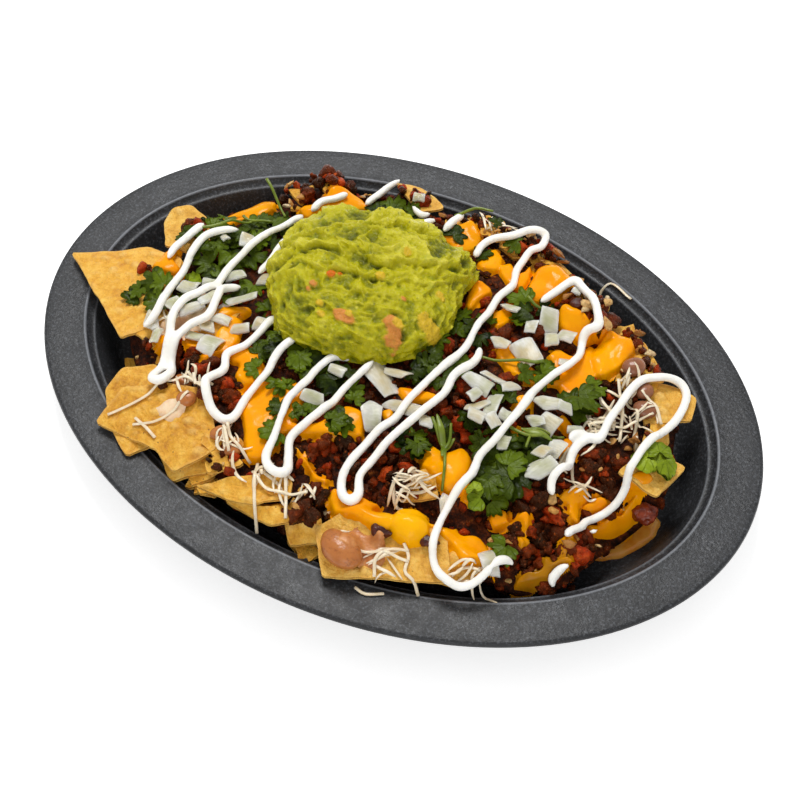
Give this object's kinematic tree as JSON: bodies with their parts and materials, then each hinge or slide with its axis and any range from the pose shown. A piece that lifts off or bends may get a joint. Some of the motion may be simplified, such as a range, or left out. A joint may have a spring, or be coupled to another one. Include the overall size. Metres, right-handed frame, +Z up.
{
  "type": "nachos",
  "caption": "Loaded nachos heaped on a rimmed oval platter: tortilla chips, beans, cheese sauce, crumbled sausage, onion, herbs, a crema zigzag and a dome of guacamole.",
  "frame": {"origin": "on the table under the centre of the oval platter", "axes": "+X along the platter's long axis, +Y across it, +Z up"},
  "size_m": [0.34, 0.25, 0.0665],
  "materials": {
    "platter": "satin charcoal grey with fine pale specks",
    "filling": "moist crumbled sausage, cheese sauce, shreds and crema",
    "guacamole": "moist, chunky and smeared",
    "tortilla_chip": "dry, blistered and speckled",
    "bean": "moist and smooth",
    "onion": "moist, slightly see-through",
    "cilantro": "leafy, slightly shiny",
    "thin_sauce": "wet and glossy"
  },
  "bodies": {
    "root": {"platter": "platter", "nacho_heap": "filling", "guacamole": "guacamole", "chip_left": "tortilla_chip", "chip_left_back": "tortilla_chip", "chip_front_left": "tortilla_chip", "chip_front_left_under": "tortilla_chip", "chip_front_small": "tortilla_chip", "chip_front_middle": "tortilla_chip", "chip_front_under": "tortilla_chip", "chip_front_right": "tortilla_chip", "chip_right_back": "tortilla_chip", "chip_right": "tortilla_chip", "chip_back": "tortilla_chip", "chip_back_middle": "tortilla_chip", "chip_back_right": "tortilla_chip", "chip_right_edge": "tortilla_chip", "chip_centre": "tortilla_chip", "bean_right": "bean", "bean_right_lower": "bean", "bean_left": "bean", "bean_front": "bean", "bean_mash": "bean", "bean_far_right": "bean", "pepper_front": "bean", "onion_1": "onion", "onion_2": "onion", "onion_3": "onion", "onion_4": "onion", "onion_5": "onion", "onion_6": "onion", "onion_7": "onion", "onion_8": "onion", "onion_9": "onion", "onion_10": "onion", "onion_11": "onion", "onion_12": "onion", "onion_13": "onion", "onion_14": "onion", "onion_15": "onion", "cilantro_1": "cilantro", "cilantro_2": "cilantro", "cilantro_3": "cilantro", "cilantro_4": "cilantro", "cilantro_5": "cilantro", "cilantro_6": "cilantro", "cilantro_7": "cilantro", "cilantro_8": "cilantro", "cilantro_9": "cilantro", "cilantro_10": "cilantro", "cilantro_11": "cilantro", "cilantro_12": "cilantro", "cilantro_13": "cilantro", "cilantro_14": "cilantro", "cilantro_15": "cilantro", "sauce_puddle": "thin_sauce"}
  },
  "joints": []
}
